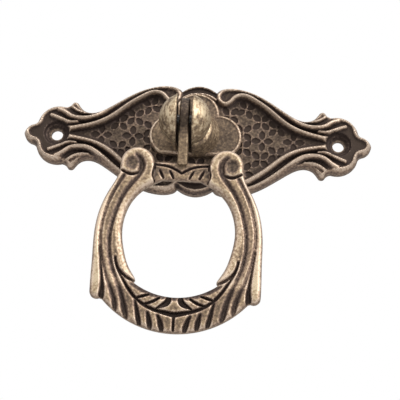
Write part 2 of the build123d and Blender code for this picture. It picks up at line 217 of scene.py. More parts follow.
def casting(low, high, step, outline, front, back, turned, ground, tone=None):
    """Closed relief over a flat outline.

    Grid cells whose middle lies inside the outline are kept, and the places on their border move to its closest spot.
    Every kept place gives one point at the front height and one at the back height, and a wall joins the two along
    the border. The wear values are how far a point stands above the mean height round it, near and far, softened for
    points just below it, and the steepness there. A tone adds to the far value of the front. Points on the border
    have one even wear, and a last value that names their side for the sharp edge there.
    """
    u, v = np.meshgrid(
        np.arange(low[0], high[0] + step, step),
        np.arange(low[1], high[1] + step, step),
        indexing="ij",
    )
    distance, spots = outline(u, v)
    middle = (distance[1:, 1:] + distance[1:, :-1] + distance[:-1, 1:] + distance[:-1, :-1]) / 4
    kept = np.pad(middle < 0, 1)
    corners = np.stack([kept[1:, 1:], kept[:-1, 1:], kept[1:, :-1], kept[:-1, :-1]])
    used = corners.any(0)
    border = used & ~corners.all(0)
    u, v = np.where(border, spots[..., 0], u), np.where(border, spots[..., 1], v)
    inner = np.where(border, 0, np.maximum(-distance, 0))
    cover = np.clip(0.5 - distance / step, 0, 1)
    heights = [front(u, v, inner), back(u, v, inner)]
    number = np.cumsum(used.ravel()).reshape(used.shape) - 1
    total = number.max() + 1
    i, j = np.nonzero(kept[1:-1, 1:-1])
    a, b, c, d = number[i, j], number[i + 1, j], number[i + 1, j + 1], number[i, j + 1]
    open_sides = [~kept[i + 1, j], ~kept[i + 2, j + 1], ~kept[i + 1, j + 2], ~kept[i, j + 1]]
    quads = [np.stack([a, b, c, d], 1), np.stack([d, c, b, a], 1) + total]
    for start, end, bare in zip((a, b, c, d), (b, c, d, a), open_sides):
        s, e = start[bare], end[bare]
        quads.append(np.stack([e, s, s + total, e + total], 1))
    points, wear = [], []
    for height, side in zip(heights, (1, -1)):
        points.append(np.stack(turned(u[used], v[used], height[used]), 1))
        shown = (height * cover + ground * (1 - cover)) * side
        rises = [(height * side - blurred(shown, reach, step))[used] for reach in (NEAR_REACH, FAR_REACH)]
        rises = [np.where(rise < 0, -(abs(rise) ** FALL_POWER), RISE_GAIN * rise) for rise in rises]
        if tone and side > 0:
            rises[1] = rises[1] + tone(u[used], v[used], height[used], inner[used])
        steepness = np.hypot(*np.gradient(height, step))
        rises.append(np.clip(blurred(steepness, step, step), 0, STEEPEST)[used])
        rises = [np.where(border[used], even, rise) for rise, even in zip(rises, BORDER_WEAR)]
        wear.append(np.stack([*rises, side * border[used]], 1))
    return np.concatenate(points), np.concatenate(quads), np.concatenate(wear)


def joined(*shells):
    """One set of points, faces and wear from several closed shells, each turned so that its faces point outwards."""
    points, quads, wear, count = [], [], [], 0
    for spots, faces, values in shells:
        corner = spots[faces]
        across = np.cross(corner[:, 2] - corner[:, 0], corner[:, 3] - corner[:, 1])
        outward = (corner.mean(1) * across).sum()
        points.append(spots)
        quads.append((faces if outward > 0 else faces[:, ::-1]) + count)
        wear.append(values)
        count += len(spots)
    return np.concatenate(points), np.concatenate(quads), np.concatenate(wear)


def make_piece(name, shell, material, sharp=50):
    """Mesh object from points in millimetres, with its wear as attributes and edges sharper than an angle kept."""
    points, quads, wear = shell
    mesh = bpy.data.meshes.new(name)
    mesh.from_pydata((points * MM).tolist(), [], quads.tolist())
    for column, label in enumerate(("near_rise", "far_rise", "steepness")):
        values = mesh.attributes.new(label, "FLOAT", "POINT")
        values.data.foreach_set("value", wear[:, column].astype(np.float32))
    mesh.polygons.foreach_set("use_smooth", np.ones(len(mesh.polygons), bool))
    mesh.set_sharp_from_angle(angle=np.radians(sharp))
    ends = np.empty(2 * len(mesh.edges), np.int32)
    mesh.edges.foreach_get("vertices", ends)
    creased = np.empty(len(mesh.edges), bool)
    mesh.edges.foreach_get("use_edge_sharp", creased)
    start, end = wear[ends[::2], 3], wear[ends[1::2], 3]
    mesh.edges.foreach_set("use_edge_sharp", creased | ((start != 0) & (start == end)))
    mesh.materials.append(material)
    piece = bpy.data.objects.new(name, mesh)
    bpy.context.scene.collection.objects.link(piece)
    return piece


def hump(distance, width, power=1.5):
    """One on a line and zero a width away from it, with a narrow crest."""
    return 1 - np.clip(distance / width, 0, 1) ** power


def step_up(value, start, end):
    """Zero up to a start, one from an end, and a smooth cubic rise between them."""
    share = np.clip((value - start) / (end - start), 0, 1)
    return share**2 * (3 - 2 * share)


def plate_quarter():
    """Outline of the plate's right upper quarter, from the top of the middle lobe to the tip."""
    return np.concatenate([
        arc((0, 16.6), (2.6, 16.1), (5, 14.7)),
        curve([(5, 14.7), (5.5, 15.35), (6.5, 15.9), (8, 16.25), (10, 16.3), (18, 13.9), (26.1, 8.7), (28.4, 7.45),
               (30.6, 7.0), (32.9, 7.7), (34.4, 9.45)]),
        arc((34.4, 9.45), (35.3, 10.05), (36.3, 9.55)),
        arc((36.3, 9.55), (37.0, 8.75), (38, 8.4)),
        arc((38, 8.4), (43.4, 7.3), (45.5, 4.1)),
        arc((45.5, 4.1), (45.9, 3.3), (46.7, 2.8)),
        arc((46.7, 2.8), (48.54, 1.66), (TIP_X, 0)),
    ])


PLATE_QUARTER = plate_quarter()
BEAD = curve([
    (39.6, 7.0, 4.4), (38, 6.25, 4.9), (36, 4.9, 5.3), (33.5, 4.3, 5.6), (30, 4.75, 5.6), (28, 5.75, 5.2),
    (24, 9.0, 4.8), (20, 12.1, 4.5), (16, 14.35, 4.4), (12, 15.4, 4.4), (9, 15.5, 4.4), (6.7, 14.9, 4.4),
    (5.6, 13.3, 4.4), (6.1, 11.5, 4.6), (7.5, 10.7, 4.7), (8.8, 11.3, 4.9), (10.2, 12.7, 5.2), (12.4, 13.3, 5.4),
    (16, 11.8, 5.6), (20, 8.95, 5.8), (24, 5.6, 5.8), (28, 3.3, 5.6), (32, 2.1, 5.2), (36.4, 1.25, 4.8),
])
FAN = curve([(34.3, 3.2, 4.9), (36, 3.1, 4.9), (37, 3.3, 4.8), (39, 4.15, 4.6), (41.7, 5.2, 4.4)])
THORN = curve([(30.5, 6.4, 4.2), (32.5, 6.3, 4.3), (34.5, 6.9, 4.3), (36.3, 8.2, 4.2)])
THORN_RIM = curve([(32.5, 7.3, 3.8), (34, 8.8, 4.0), (35.3, 9.5, 4.0), (36.5, 8.9, 4.0)])
END_RIM = curve([
    (38.6, 7.6, 4.0), (41.3, 7.3, 4.2), (43.3, 6.5, 4.3), (44.4, 5.0, 4.3), (44.8, 3.4, 4.3), (45.3, 2.6, 4.3),
    (46.8, 2.0, 4.3), (48.0, 1.1, 4.3), (48.4, 0, 4.3),
])
LOBE_RIM = curve([(0, 15.9, 4.2), (2.4, 15.4, 4.2), (4.8, 14.2, 4.2)])
LOBE_ARC = curve([(0, 13.4, 4.4), (2.6, 13.0, 4.4), (4.7, 11.9, 4.2)])
FLOWERS = [
    (18.3, 0, 0), (17.9, 5.7, 45), (22.4, 4.0, 45), (27.2, 0, 0), (13.5, 9.4, 30), (12.9, 2.3, 45), (9, 7.4, 45),
    (0, 8.2, 45),
]
PETAL_OFFSET = 1.75
PETAL_HALF_LENGTH = 1.32
PETAL_HALF_WIDTH = 0.88
PETAL_POINT = 1.4
PETAL_BOWL = 0.7
PETAL_DEPTH = 1.2
PETAL_LIP = 0.05
LIP_PLACE = 1.35
LIP_SPREAD = 0.12

# Strands of the plate, each with its half width. Their feet are a little under the field.
STRANDS = (
    (BEAD, 1.2), (FAN, 0.95), (THORN, 0.8), (THORN_RIM, 1.0), (END_RIM, 0.95), (LOBE_RIM, 0.8), (LOBE_ARC, 0.8),
)
STRAND_FOOT = FIELD_DEPTH - 0.3

# Screw cup: a shelf over a span of radii, and a wall that starts just inside the cup's radius.
CUP_SHELF = 0.9
CUP_SHELF_SPAN = (2.1, 3.1)
CUP_WALL_START = SCREW_CUP_RADIUS - 0.2
CUP_WALL_SLOPE = 2.5

# Edge of the plate: its height on the outline, how far it rises over what width, and how steep it goes on from there.
EDGE_HEIGHT = 1.8
EDGE_RISE = 2.9
EDGE_WIDTH = 1.9
EDGE_SLOPE = 2

# How much darker the petals, the field, its ends and the middle lobes are.
PETAL_TONE = 2.5
FIELD_TONE = 0.3
END_TONE = 1.2
LOBE_TONE = 1.2

# Back of the plate: how wide the hollow's sides slope and how wide the edge of the rivet's seat does.
HOLLOW_SLOPE_WIDTH = 0.5
RIVET_SEAT_BEVEL = 0.35


def plate_outline(x, z):
    """Signed distance to the plate's edge or a screw hole, minus inside, and the closest spot, mirrored four ways."""
    across, up = abs(x), abs(z)
    loop = np.concatenate([PLATE_QUARTER, [(0, 0)]])
    distance, spots = nearest(PLATE_QUARTER, across, up)
    distance = np.where(encloses(loop, across + 1e-6, up + 1e-6), -distance, distance)
    out = np.hypot(across - SCREW_X, up) + 1e-9
    hole_spots = np.stack([SCREW_X + (across - SCREW_X) / out * SCREW_HOLE_RADIUS, up / out * SCREW_HOLE_RADIUS], -1)
    holed = SCREW_HOLE_RADIUS - out > distance
    distance = np.where(holed, SCREW_HOLE_RADIUS - out, distance)
    spots = np.where(holed[..., None], hole_spots, spots)
    return distance, spots * np.stack([np.where(x < 0, -1, 1), np.where(z < 0, -1, 1)], -1)


def dimples(x, z):
    """Depth of the flowers' petals: a bowl that narrows to a point at both ends, with a low lip round it.

    A place is out by the square of its share of the half length plus a power of its share of the half width. The
    bowl is a power of one minus that, and the lip a bell curve of it.
    """
    sunk = np.zeros(x.shape)
    lip = np.zeros(x.shape)
    for middle_x, middle_z, turn in FLOWERS:
        for angle in np.radians(np.arange(turn, turn + 360, 90)):
            off_x = x - middle_x - PETAL_OFFSET * np.cos(angle)
            off_z = z - middle_z - PETAL_OFFSET * np.sin(angle)
            along = (off_x * np.cos(angle) + off_z * np.sin(angle)) / PETAL_HALF_LENGTH
            aside = (off_z * np.cos(angle) - off_x * np.sin(angle)) / PETAL_HALF_WIDTH
            out = along**2 + abs(aside) ** PETAL_POINT
            sunk = np.maximum(sunk, np.clip(1 - out, 0, 1) ** PETAL_BOWL)
            lip = np.maximum(lip, np.exp(-((out - LIP_PLACE) ** 2) / LIP_SPREAD))
    return PETAL_DEPTH * sunk - PETAL_LIP * lip * (sunk == 0)


def plate_front(x, z, inner):
    """Front of the plate: a dimpled field, the highest of the strands over it, the screw cups, and a rounded edge."""
    x, z = abs(x), abs(z)
    height = FIELD_DEPTH - dimples(x, z)
    for line, width in STRANDS:
        distance, columns = nearest(line, x, z, NEAR_LINE)
        height = np.maximum(height, STRAND_FOOT + (columns[..., 2] - STRAND_FOOT) * hump(distance, width))
    out = np.hypot(x - SCREW_X, z)
    wall = CUP_WALL_SLOPE * np.clip(out - CUP_WALL_START, 0, 3)
    height = np.minimum(height, SCREW_CUP_FLOOR + CUP_SHELF * step_up(out, *CUP_SHELF_SPAN) + wall)
    edge = np.where(out < SCREW_CUP_RADIUS, FAR_FROM_EDGE, inner)
    rounding = EDGE_RISE * (1 - (1 - np.clip(edge / EDGE_WIDTH, 0, 1)) ** 2) + EDGE_SLOPE * np.clip(edge - 1, 0, 1)
    return np.minimum(height, EDGE_HEIGHT + rounding)


def plate_tone(x, z, height, inner):
    """Darker petals and field, darkest round the screw cups, and darker lobes over and under the post."""
    petal = np.clip(dimples(abs(x), abs(z)), 0, 0.8)
    field = step_up(-height, -FIELD_DEPTH - 0.5, -FIELD_DEPTH) * step_up(inner, 1, 1.8)
    end = step_up(abs(x), 35, 37)
    lobe = step_up(-abs(x), -5.5, -4.5) * step_up(abs(z), 13, 14)
    return -field * (PETAL_TONE * petal + FIELD_TONE + END_TONE * end) - LOBE_TONE * lobe


def plate_back(x, z, inner):
    """Back of the plate: flat on the drawer along the rim and three bosses, hollow between, and sunk at the rivet."""
    on_boss = np.minimum(
        np.hypot(abs(x) - SCREW_X, z) - SCREW_CUP_RADIUS - BOSS_WALL,
        np.hypot(x - POST_X, z) - RIVET_RADIUS - BOSS_WALL,
    )
    into = np.minimum(np.where(np.hypot(abs(x) - SCREW_X, z) < SCREW_CUP_RADIUS, 0, inner) - RIM_WALL, on_boss)
    seat = step_up(-np.hypot(x - POST_X, z), -RIVET_RADIUS - RIVET_SEAT_BEVEL, -RIVET_RADIUS)
    return HOLLOW_DEPTH * np.clip(into / HOLLOW_SLOPE_WIDTH, 0, 1) + seat


def on_bowl(x, bottom, radius):
    """Point at x on the lower half of a circle with a radius and a lowest height."""
    return x, bottom + radius - np.sqrt(radius**2 - x**2)


def pull_half():
    """Right half of the ring's edge: the outer line from the crossbar down, and the opening's line from the band up."""
    band_start, band_middle = (on_bowl(x, BAND_BOTTOM, BAND_RADIUS) for x in (19.2, 11.0))
    hook_foot, opening_middle = (on_bowl(x, OPENING_BOTTOM, OPENING_RADIUS) for x in (HOOK_X, 6.0))
    outer = np.concatenate([
        [(0, BAR_TOP), (8.95, BAR_TOP - 0.2)],
        curve([(16.75, -12.4), (16.85, -14.3), (17.3, -16.3), (19.1, -20.0), (21.5, -26.0), (22.5, -33.0),
               (22.5, -40.0), (22.55, -45), (22.5, -48.75)]),
        arc((22.5, -48.75), (21.6, -50.25), (19.9, -50.35)),
        arc(band_start, band_middle, (0, BAND_BOTTOM)),
    ])
    inner = np.concatenate([
        arc((0, OPENING_BOTTOM), opening_middle, hook_foot),
        curve([hook_foot, (10.72, -45.2), (11.0, -44.4), (11.7, -43.3), (12.5, -42.0), (14.0, -38.0), (15.05, -32.0),
               (14.2, -26.0), (12.3, -22.2), (9.0, -19.0), (5.2, BAR_BOTTOM - 0.1)]),
        [(0, BAR_BOTTOM)],
    ])
    return outer, inner


PULL_OUTER, PULL_INNER = pull_half()
# Grooves of the right half: how wide and how deep their sides are, and points as x, z and half width of the floor.
PULL_GROOVES = [(side, depth, curve(line)) for side, depth, line in (
    (1.05, 0.65, [(15.5, -16.2, 0.1), (17.5, -20.0, 0.06), (19.7, -26.0, 0.0), (20.7, -33.0, 0.0), (19.8, -40.0, 0.0),
                  (18.2, -45.2, 0.0), (16.4, -49.3, 0.12), (15.7, -52, 0.3), (15.6, -54.4, 0.42)]),
    (1.05, 0.7, [(12.3, -10.3, 0.0), (11.4, -11.2, 0.2), (10.8, -12.8, 0.4), (11.5, -15.8, 0.25), (14.2, -20.0, 0.06),
                 (17.1, -27.0, 0.0), (18.2, -34.0, 0.0), (17.0, -42.0, 0.0), (14.6, -48.0, 0.06), (12.9, -54, 0.35),
                 (12.5, -56.5, 0.45)]),
    (0.6, 0.8, [(11.3, -15.2, 0.2), (13.4, -15.9, 0.2), (16.3, -14.8, 0.1)]),
    (0.6, 0.8, [(16.3, -39.5, 0.0), (15.7, -41.8, 0.1), (13.6, -44.3, 0.18), (11.6, -45.4, 0.2), (10.5, -45.7, 0.2)]),
    (0.6, 0.9, [(15.6, -42.4, 0.0), (13.3, -46.3, 0.12), (10.9, -49.6, 0.15), (6.1, -52.9, 0.2), (2.5, -53.9, 0.35),
                (0, -54.4, 0.5)]),
    (0.75, 0.85, [(20.6, -36.5, 0.0), (20.0, -41.0, 0.0), (19.45, -45.0, 0.1), (19.2, -48.0, 0.3), (19.3, -50, 0.5),
                  (19.4, -51.0, 0.55)]),
    (0.75, 0.8, [(10.3, -50.8, 0), (9.4, -55.0, 0.25), (8.9, -57.5, 0.42)]),
    (0.75, 0.8, [(6.9, -54.0, 0), (6.4, -56.0, 0.3), (6.1, -58.3, 0.42)]),
    (0.75, 0.8, [(4.2, -54.7, 0), (3.5, -56.5, 0.3), (3.0, -58.7, 0.42)]),
    (0.5, 0.9, [(10.1, -50.2, 0.1), (8.4, -49.7, 0.15), (6.9, -49.2, 0.12)]),
    (0.5, 0.9, [(8.0, -51.8, 0.1), (6.0, -51.2, 0.15), (4.1, -50.0, 0.15)]),
    (0.4, 0.9, [(4.8, -52.9, 0.0), (3.7, -52.3, 0.3), (2.6, -51.7, 0.65), (1.9, -51.1, 0.75), (1.55, -50.0, 0.65)]),
    (0.45, 0.6, [(3.2, -14.4, 0), (2.7, -15.3, 0.12), (2.2, -16.4, 0.12)]),
    (0.45, 0.6, [(6.0, -14.2, 0), (5.5, -15.2, 0.15), (4.9, -16.4, 0.15)]),
    (0.5, 0.65, [(0, -14.9, 0.1), (3.2, -13.2, 0.12), (7.0, -12.6, 0.1)]),
    (0.4, 0.7, [(7.5, -11.9, 0.1), (7.45, -13.5, 0.1), (7.8, -15.6, 0.08), (7.3, -17.6, 0.05)]),
    (0.5, 0.9, [(0, -54.6, 0.25), (0, -56, 0.1), (0, -58.6, 0.15)]),
)]

# A groove's full depth reaches over a share of its floor, and its sides are a power of the way up.
FLOOR_SHARE = 0.8
FLOOR_DEEPENING = 1.1
SIDE_POWER = 1.7
DEEPEST = 2.2

# Edges of the ring: how far in they round off, how far they drop, and the bevel along the band's opening.
OUTER_FALL = 1.25
INNER_FALL = 1.7
EDGE_DROP = 1.4
BAND_BEVEL = 1.6
BEVEL_POWER = 1.3
BAR_EDGE_SHARE = 0.6

# Fine crest beside the grooves of the legs: its height, how far from a groove it stands, and both half widths.
CREST = 0.12
CREST_PLACE = 0.75
CREST_WIDTH = 0.35
INNER_CREST_WIDTH = 0.4

# How deep the scrolls' eyes are dished.
EYE_DISH = 0.4

# What each part of the ring's front adds to its wear: the bevel runs along the band's opening, the strand is the
# outer part of the inner strand, and the rail is the outer strand of a leg, brighter as rubbed wear and as painted
# highlight.
PULL_TONES = {"all": 0.4, "bar": -0.4, "bevel": -1.0, "strand": -0.4, "eye": -0.6, "band": -0.8, "rubbed_and_highlit_rail": 0.6}


def pull_tone(x, z, height, inner):
    """Tone of the ring's front: each part's tone times how far a place belongs to the part, added up."""
    x = abs(x)
    opening, _ = nearest(PULL_INNER, x, z, 5)
    outside, _ = nearest(PULL_OUTER, x, z, 5)
    # The legs' outer strand is brighter, as rubbed wear and as painted highlight.
    rubbed_and_highlit_rail = step_up(-outside, -2.7, -1.9) * step_up(-x, -22.6, -21)
    shares = {
        "all": 1,
        "bar": step_up(-x, -7.7, -7.2) * step_up(z, -20, -19),
        "bevel": step_up(-opening, -BAND_BEVEL, -0.8) * step_up(-z, 45.5, 46.5),
        "strand": step_up(opening, 1.2, 1.8) * step_up(z, -45, -43),
        "eye": step_up(-np.hypot(x - EYE_SPOT[0], z - EYE_SPOT[1]), -2.6, -1.6),
        "band": step_up(-z, 45.5, 48),
        "rubbed_and_highlit_rail": rubbed_and_highlit_rail * step_up(z, -50.5, -48) * step_up(-z, 20, 26),
    }
    return sum(tone * shares[part] for part, tone in PULL_TONES.items())


def pull_outline(x, z):
    """Signed distance to the ring's edge, minus inside, and the closest spot, with the scroll's disc joined on."""
    across = abs(x)
    distance, spots = nearest(PULL_OUTER, across, z)
    inner_distance, inner_spots = nearest(PULL_INNER, across, z)
    closer = inner_distance < distance
    distance = np.where(closer, inner_distance, distance)
    spots = np.where(closer[..., None], inner_spots, spots)
    loop = np.concatenate([PULL_OUTER, PULL_INNER])
    distance = np.where(encloses(loop, across + 1e-6, z), -distance, distance)
    off_x, off_z = across - SCROLL_SPOT[0], z - SCROLL_SPOT[1]
    out = np.hypot(off_x, off_z) + 1e-9
    disc_spots = np.stack([
        SCROLL_SPOT[0] + off_x / out * SCROLL_RADIUS,
        SCROLL_SPOT[1] + off_z / out * SCROLL_RADIUS,
    ], -1)
    on_disc = out - SCROLL_RADIUS < distance
    distance = np.where(on_disc, out - SCROLL_RADIUS, distance)
    spots = np.where(on_disc[..., None], disc_spots, spots)
    return distance, spots * np.stack([np.where(x < 0, -1, 1), np.ones(x.shape)], -1)


def pull_front(x, z, inner):
    """Front of the ring: strands that fall away to the grooves and the edge, a lower crossbar, and dished scroll eyes.

    The fall at a place is the most that its edge, the bevel or any groove asks for. Fine crests stand on the inner
    side of the legs' grooves, and their height is held back from the front so that they end level with it.
    """
    x = abs(x)
    opening, _ = nearest(PULL_INNER, x, z)
    on_leg = step_up(z, -45, -43) * step_up(-z, 17.5, 20)
    on_bar = step_up(-x, -7.6, -7.2) * step_up(z, -20, -19)
    bevel = (1 - np.clip(opening / BAND_BEVEL, 0, 1)) ** BEVEL_POWER * step_up(-z, 45.5, 46.5)
    fall = EDGE_DROP * rounded(inner, OUTER_FALL) / OUTER_FALL * (1 - BAR_EDGE_SHARE * on_bar)
    fall = np.maximum(fall, on_leg * EDGE_DROP * rounded(opening, INNER_FALL) / INNER_FALL)
    fall = np.maximum(fall, bevel)
    crest = hump(abs(opening - INNER_FALL), INNER_CREST_WIDTH)
    for side, depth, line in PULL_GROOVES:
        distance, columns = nearest(line, x, z, NEAR_LINE)
        crest = np.maximum(crest, hump(abs(distance - CREST_PLACE), CREST_WIDTH) * (x < columns[..., 0]))
        floor = columns[..., 2]
        share = np.clip((distance - FLOOR_SHARE * floor) / side, 0, 1)
        fall = np.maximum(fall, (depth + FLOOR_DEEPENING * floor) * (1 - share) ** SIDE_POWER)
    eye = EYE_DISH * step_up(-np.hypot(x - EYE_SPOT[0], z - EYE_SPOT[1]), -2.2, -0.9)
    return PULL_FRONT - CREST - np.minimum(fall + BAR_STEP * on_bar + eye, DEEPEST) + CREST * on_leg * crest


def pull_back(x, z, inner):
    """Back of the ring: flat, with its edge rounded off."""
    return PULL_BACK + rounded(inner, BACK_ROUND)


def rounded(inner, radius):
    """How far a quarter round of a radius falls away, from the radius on the edge to zero inside it."""
    return radius * (1 - np.sqrt(np.clip(1 - (1 - np.clip(inner / radius, 0, 1)) ** 2, 0, 1)))


def tongue_outline(depth, z):
    """Signed distance to the tongue's edge seen from the side: round eye, stem down to the crossbar, and bore."""
    shoulder = EYE_RADIUS - EYE_SHOULDER
    stem = np.array([
        (HEAD_DEPTH - shoulder, HEAD_RISE - 3.3), (HEAD_DEPTH + shoulder, HEAD_RISE - 3.3), (PULL_FRONT, BAR_TOP - 1),
        (PULL_BACK, BAR_TOP - 1),
    ])
    turn = np.linspace(0, 2 * np.pi, 200)
    rings = {
        radius: np.stack([HEAD_DEPTH + radius * np.cos(turn), HEAD_RISE + radius * np.sin(turn)], 1)
        for radius in (EYE_RADIUS, BORE_RADIUS)
    }
    out = np.hypot(depth - HEAD_DEPTH, z - HEAD_RISE)
    _, eye_spots = nearest(rings[EYE_RADIUS], depth, z)
    _, bore_spots = nearest(rings[BORE_RADIUS], depth, z)
    stem_distance, stem_spots = nearest(np.concatenate([stem, stem[:1]]), depth, z)
    stem_distance = np.where(encloses(stem, depth, z), -stem_distance, stem_distance)
    on_stem = stem_distance < out - EYE_RADIUS
    distance = np.where(on_stem, stem_distance, out - EYE_RADIUS)
    spots = np.where(on_stem[..., None], stem_spots, eye_spots)
    bored = BORE_RADIUS - out > distance
    return np.where(bored, BORE_RADIUS - out, distance), np.where(bored[..., None], bore_spots, spots)


def foot_outline(x, z):
    """Signed distance to the edge of the post's foot: three round lobes and the neck's round, cut flat below."""
    turn = np.linspace(0, 2 * np.pi, 400)
    rounds = [(POST_X - FOOT_LOBE_OFFSET, 0, FOOT_LOBE_RADIUS), (POST_X + FOOT_LOBE_OFFSET, 0, FOOT_LOBE_RADIUS),
              (POST_X, FOOT_LOBE_OFFSET, FOOT_LOBE_RADIUS), (POST_X, NECK_RISE, NECK_FOOT_RADIUS)]
    distance = np.full(x.shape, FAR)
    spots = np.zeros(x.shape + (2,))
    for middle_x, middle_z, radius in rounds:
        off_x, off_z = x - middle_x, z - middle_z
        out = np.hypot(off_x, off_z) + 1e-9
        closer = out - radius < distance
        distance = np.where(closer, out - radius, distance)
        here = np.stack([middle_x + off_x / out * radius, middle_z + off_z / out * radius], -1)
        spots = np.where(closer[..., None], here, spots)
    below = FOOT_BOTTOM - z
    cut = below > distance
    distance = np.where(cut, below, distance)
    return distance, np.where(cut[..., None], np.stack([x, np.full(x.shape, FOOT_BOTTOM)], -1), spots)


def foot_front(x, z, inner):
    """Front of the foot: a slightly dished face inside a thin raised rim."""
    rim = FOOT_RIM * hump(abs(inner - FOOT_RIM_PLACE), FOOT_RIM_WIDTH)
    return FOOT_FRONT - FOOT_DISH + rim - 0.5 * rounded(inner, FOOT_ROUND)


def foot_tone(x, z, height, inner):
    """Dark face of the foot, with its left lobe a little brighter."""
    return LEFT_LOBE_TONE * step_up(-x, 1, 6) + FOOT_TONE


def head_parts(depth, z, side):
    """How far the ball and the neck reach sideways from the head's middle at a depth and a height."""
    ball = HEAD_RADIUS**2 - (depth - HEAD_DEPTH) ** 2 - (z - HEAD_RISE) ** 2
    ball = np.sign(ball) * np.sqrt(abs(ball))
    share = np.clip((depth - FOOT_FRONT + 0.5) / (NECK_TOP_DEPTH - FOOT_FRONT), 0, 1.4)
    radius = NECK_FOOT_RADIUS + (NECK_TOP_RADIUS - NECK_FOOT_RADIUS) * share
    neck = radius**2 - (z - NECK_RISE) ** 2
    neck = np.sign(neck) * np.sqrt(abs(neck)) + side * (POST_X + NECK_TOP_LEAN * share - HEAD_X)
    return ball, neck - 4 * np.clip(depth - NECK_TOP_DEPTH, 0, 3)


def head_outline(side):
    """Outline function of one half of the head and neck, seen from the side."""
    def outline(depth, z):
        reach = np.maximum(*head_parts(depth, z, side)) - SLOT_HALF
        reach = np.minimum(reach, (depth - FOOT_FRONT + 0.6) * 3)
        slope_d, slope_z = np.gradient(reach, depth[1, 0] - depth[0, 0])
        steep = slope_d**2 + slope_z**2 + 1e-9
        step = np.clip(reach / steep, -0.3, 0.3)
        front = HEAD_DEPTH + np.sqrt(HEAD_RADIUS**2 - SLOT_HALF**2)
        return -reach / np.sqrt(steep), np.stack([np.minimum(depth - step * slope_d, front), z - step * slope_z], -1)
    return outline


def head_wear(points, side):
    """Wear and painted light of the head's points: bright on the ball, less on the neck and towards the bottom, painted
    shade at the top, and none in the slot.

    The groove where the ball meets the neck has painted shade, the neck's lip beside it a painted highlight, and the
    slot's edges are rubbed bright.
    """
    depth, height, aside = -points[:, 1], points[:, 2], abs(points[:, 0] - HEAD_X)
    ball, neck = head_parts(depth, height, side)
    rubbed = NECK_WEAR + (1 - NECK_WEAR) * step_up(ball - neck, -0.4, 0.6)
    # Darker towards the bottom, and painted shade at the ball's top that dims the lamp's highlight.
    rubbed = rubbed * (BOTTOM_SHARE + (1 - BOTTOM_SHARE) * step_up(height, -5, 0)) * (1 - TOP_PAINTED_SHADE * step_up(height, 2, 6))
    rubbed = rubbed * step_up(aside, SLOT_HALF + SLOT_SKIN, SLOT_HALF + 0.1)
    # Painted highlight on the neck's lip and painted shade in the groove round the ball.
    lip = LIP_PAINTED_HIGHLIGHT * hump(abs(ball - neck + LIP_OFFSET), LIP_WIDTH) + GROOVE_PAINTED_SHADE * hump(abs(ball - neck), LIP_WIDTH)
    near = SLOT_EDGE_WEAR * step_up(-aside, -2.8, -2.5) * rubbed + lip * (aside > SLOT_HALF + 0.3)
    return np.stack([near, rubbed, 0 * depth, 0 * depth], 1)


def head_shells():
    """Both halves of the slotted head, each with its share of the neck."""
    shells = []
    for side in (-1, 1):
        points, quads, _ = casting(
            (4.6, -8), (22, 9), POST_STEP, head_outline(side),
            lambda d, z, inner, side=side: np.maximum(np.maximum(*head_parts(d, z, side)), SLOT_HALF + SLOT_SKIN),
            lambda d, z, inner: SLOT_HALF + rounded(inner, SLOT_ROUND),
            lambda d, z, w, side=side: (HEAD_X + side * w, -d, z), 0.0,
        )
        shells.append((points, quads, head_wear(points, side)))
    return shells


def tongue_shell():
    """Tongue in the slot: flat sides with rounded edges, dark inside the slot and rubbed below it."""
    points, quads, wear = casting(
        (7, -13), (21, 7.5), TONGUE_STEP, tongue_outline,
        lambda d, z, inner: TONGUE_HALF - rounded(inner, TONGUE_ROUND),
        lambda d, z, inner: rounded(inner, TONGUE_ROUND) - TONGUE_HALF,
        lambda d, z, x: (HEAD_X + x, -d, z), 0.0,
    )
    rubbed = 0.4 - 1.2 * step_up(points[:, 2], -6.5, -1.5)
    return points, quads, np.stack([0 * rubbed, rubbed, 0 * rubbed, wear[:, 3]], 1)


def tube(radius, start, end, x, z=0.0, tone=0.0):
    """Closed drum between two depths, with a tone: four rings, the first and last of them on its middle line."""
    turn = np.linspace(0, 2 * np.pi, TUBE_SIDES, endpoint=False)
    rings = [(1e-3, start), (radius, start), (radius, end), (1e-3, end)]
    points = np.concatenate([
        np.stack([x + r * np.cos(turn), np.full(TUBE_SIDES, -depth), z + r * np.sin(turn)], 1) for r, depth in rings
    ])
    here = np.arange(TUBE_SIDES)
    after = (here + 1) % TUBE_SIDES
    band = np.stack([here, after, TUBE_SIDES + after, TUBE_SIDES + here], 1)
    quads = np.concatenate([k * TUBE_SIDES + band for k in range(len(rings) - 1)])
    return points, quads, np.full((len(points), 4), [0, tone, 0, 0])


# Camera fitted to the photograph: azimuth, elevation and roll in degrees, the point it turns round and the distance to
# it, and the focal length in pixels of the photograph.
CAMERA_TURNS = (1.3313, -19.1291, 2.913)
CAMERA_TARGET = (1.5755, 0, -17.2635)
CAMERA_DISTANCE = 350.0
FOCAL_PIXELS = 1246.06
PHOTO_PIXELS = 400
SENSOR_WIDTH = 36

# Lamps: name, place in metres, size and power. They face the middle of the handle.
LAMPS = (
    ("key", (0.55, -0.45, 0.3), 0.5, 10.5),
    ("fill", (-0.55, -0.45, 0.3), 0.35, 3),
    ("top", (0, -0.45, 0.65), 0.4, 6),
)
HANDLE_MIDDLE = (0, 0, -0.02)

# Colours of the patina, from the hollows to the crests, each with its place on the scale of wear.
PATINA = [
    (0.05, (0.023, 0.015, 0.0115)),
    (0.34, (0.061, 0.0435, 0.0325)),
    (0.58, (0.12, 0.085, 0.0595)),
    (0.78, (0.205, 0.151, 0.102)),
    (1.0, (0.32, 0.262, 0.195)),
]

# Tint of the patina on flat places, and on steep ones from a steepness on, where it is patina and painted shade.
FLAT_TINT = (1.0, 0.98, 0.88)
STEEP_PATINA_AND_SHADE_TINT = (0.99, 0.945, 0.98)
STEEP_START = 0.8

